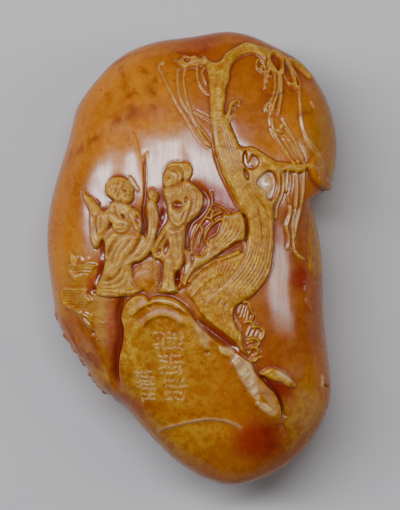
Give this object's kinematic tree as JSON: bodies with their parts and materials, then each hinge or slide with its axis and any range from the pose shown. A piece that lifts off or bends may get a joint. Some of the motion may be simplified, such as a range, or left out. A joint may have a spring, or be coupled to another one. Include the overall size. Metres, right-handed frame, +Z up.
{
  "type": "soapstone boulder carving",
  "caption": "Smooth oval soapstone boulder, lying on its back, with a thin relief of figures, an old tree and rocks carved over its face.",
  "frame": {"origin": "middle of the bounding box at its lowest level, on the small flat spot that the stone rests on", "axes": "+Z up, out of the carved face; +Y along the stone towards its top end, where the tree's crown is; +X to the right of someone who looks at the carved face with the top end up"},
  "size_m": [0.0868, 0.1362, 0.0471],
  "materials": {
    "soapstone": "waxed and polished amber stone, slightly translucent"
  },
  "bodies": {
    "root": {"carved_stone": "soapstone"}
  },
  "joints": []
}
